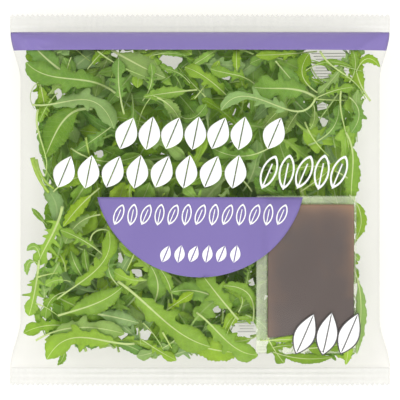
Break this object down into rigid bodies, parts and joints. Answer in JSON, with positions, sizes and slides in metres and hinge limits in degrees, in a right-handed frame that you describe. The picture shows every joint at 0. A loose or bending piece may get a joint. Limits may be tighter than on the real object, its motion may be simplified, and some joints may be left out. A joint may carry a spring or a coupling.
{
  "type": "bag of salad leaves",
  "caption": "Clear sealed pillow bag full of loose rocket leaves with a dressing sachet, lying flat, with a plain purple band and disc and crimped toothed end seals.",
  "frame": {"origin": "middle of the ground under the bag, as it lies on its back", "axes": "+X across the bag to the right, +Y up the front to the top seal, +Z out of the front"},
  "size_m": [0.21, 0.2056, 0.0442],
  "materials": {
    "clear_film": "glossy clear film over mid-green leaves",
    "salad_leaves": "fresh rocket leaves with paler midribs",
    "printed_ink": "flat ink on the film, purple and white",
    "sachet_dressing": "brown dressing in a milky sachet"
  },
  "bodies": {
    "root": {"salad_bag": "clear_film"}
  },
  "joints": []
}
